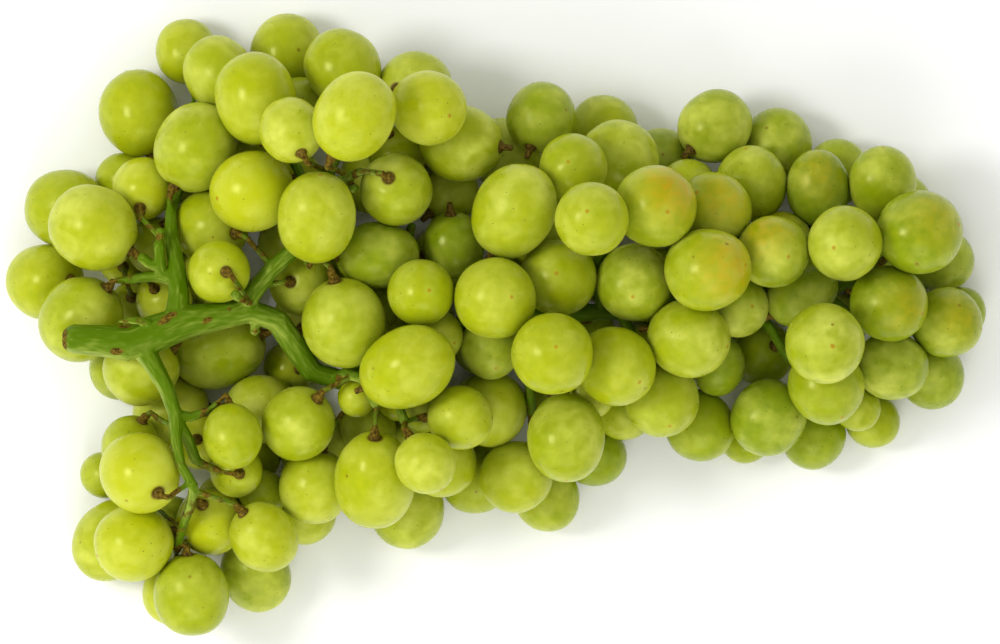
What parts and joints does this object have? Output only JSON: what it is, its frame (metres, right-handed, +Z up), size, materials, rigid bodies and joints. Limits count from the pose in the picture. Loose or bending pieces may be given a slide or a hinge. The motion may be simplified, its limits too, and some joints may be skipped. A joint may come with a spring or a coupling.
{
  "type": "bunch of grapes",
  "caption": "Bunch of green table grapes lying on its side, with a branching green stem, brown stalk ends and oval berries of mixed size.",
  "frame": {"origin": "centre of the bottom of the bounding box, on the surface that the bunch lies on", "axes": "+X from the cut end of the stem towards the tip of the bunch, +Y towards the upper shoulder, +Z up from the surface"},
  "size_m": [0.246, 0.155, 0.0685],
  "materials": {
    "berry_skin": "satin",
    "stem": "satin"
  },
  "bodies": {
    "root": {"stem": "stem", "grapes_01": "berry_skin", "grapes_02": "berry_skin", "grapes_03": "berry_skin", "grapes_04": "berry_skin", "grapes_05": "berry_skin", "grapes_06": "berry_skin", "grapes_07": "berry_skin", "grapes_08": "berry_skin", "grapes_09": "berry_skin", "grapes_10": "berry_skin", "grapes_11": "berry_skin", "grapes_12": "berry_skin", "grapes_13": "berry_skin", "grapes_14": "berry_skin", "grapes_15": "berry_skin", "grapes_16": "berry_skin", "grapes_17": "berry_skin", "grapes_18": "berry_skin", "grapes_19": "berry_skin", "grapes_20": "berry_skin", "grapes_21": "berry_skin", "grapes_22": "berry_skin", "grapes_23": "berry_skin", "grapes_24": "berry_skin", "grapes_25": "berry_skin", "grapes_26": "berry_skin", "grapes_27": "berry_skin", "grapes_28": "berry_skin", "grapes_29": "berry_skin", "grapes_30": "berry_skin", "grapes_31": "berry_skin", "grapes_32": "berry_skin", "grapes_33": "berry_skin", "grapes_34": "berry_skin", "grapes_35": "berry_skin", "grapes_36": "berry_skin", "grapes_37": "berry_skin", "grapes_38": "berry_skin", "grapes_39": "berry_skin", "grapes_40": "berry_skin", "grapes_41": "berry_skin", "grapes_42": "berry_skin", "grapes_43": "berry_skin", "grapes_44": "berry_skin", "grapes_45": "berry_skin", "grapes_46": "berry_skin", "grapes_47": "berry_skin", "grapes_48": "berry_skin", "grapes_49": "berry_skin", "grapes_50": "berry_skin", "grapes_51": "berry_skin", "grapes_52": "berry_skin", "grapes_53": "berry_skin", "grapes_54": "berry_skin", "grapes_55": "berry_skin"}
  },
  "joints": []
}
